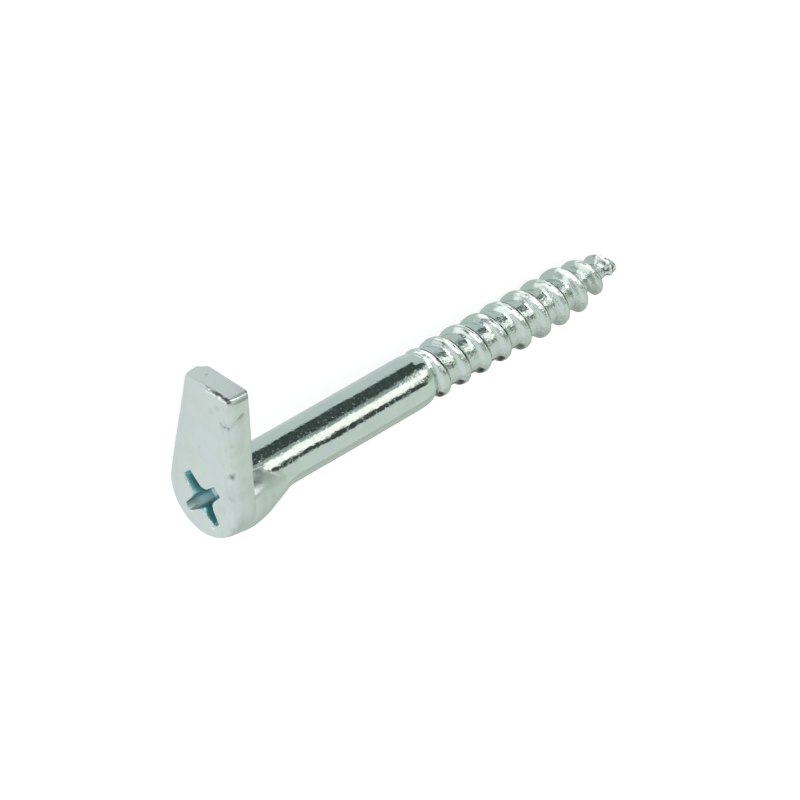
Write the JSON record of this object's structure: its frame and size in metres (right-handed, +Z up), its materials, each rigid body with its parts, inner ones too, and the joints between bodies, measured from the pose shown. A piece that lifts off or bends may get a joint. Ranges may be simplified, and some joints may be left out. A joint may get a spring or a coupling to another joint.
{
  "type": "screw hook",
  "caption": "Straight forged steel screw hook: a flat teardrop tab with a cross recess, square on a round shank with a coarse wood thread.",
  "frame": {"origin": "on the table, under the middle of the hook's box as it lies on its side", "axes": "+Z up; +Y along the shank from the tab to the tip (it slopes down 2.6 degrees to the last turns of the thread); -X the way the tab points"},
  "size_m": [0.0184, 0.0592, 0.0098],
  "materials": {
    "zinc_plate": "bright zinc plate over cold-forged steel, clear-blue passivated"
  },
  "bodies": {
    "root": {"screw_hook": "zinc_plate"}
  },
  "joints": []
}
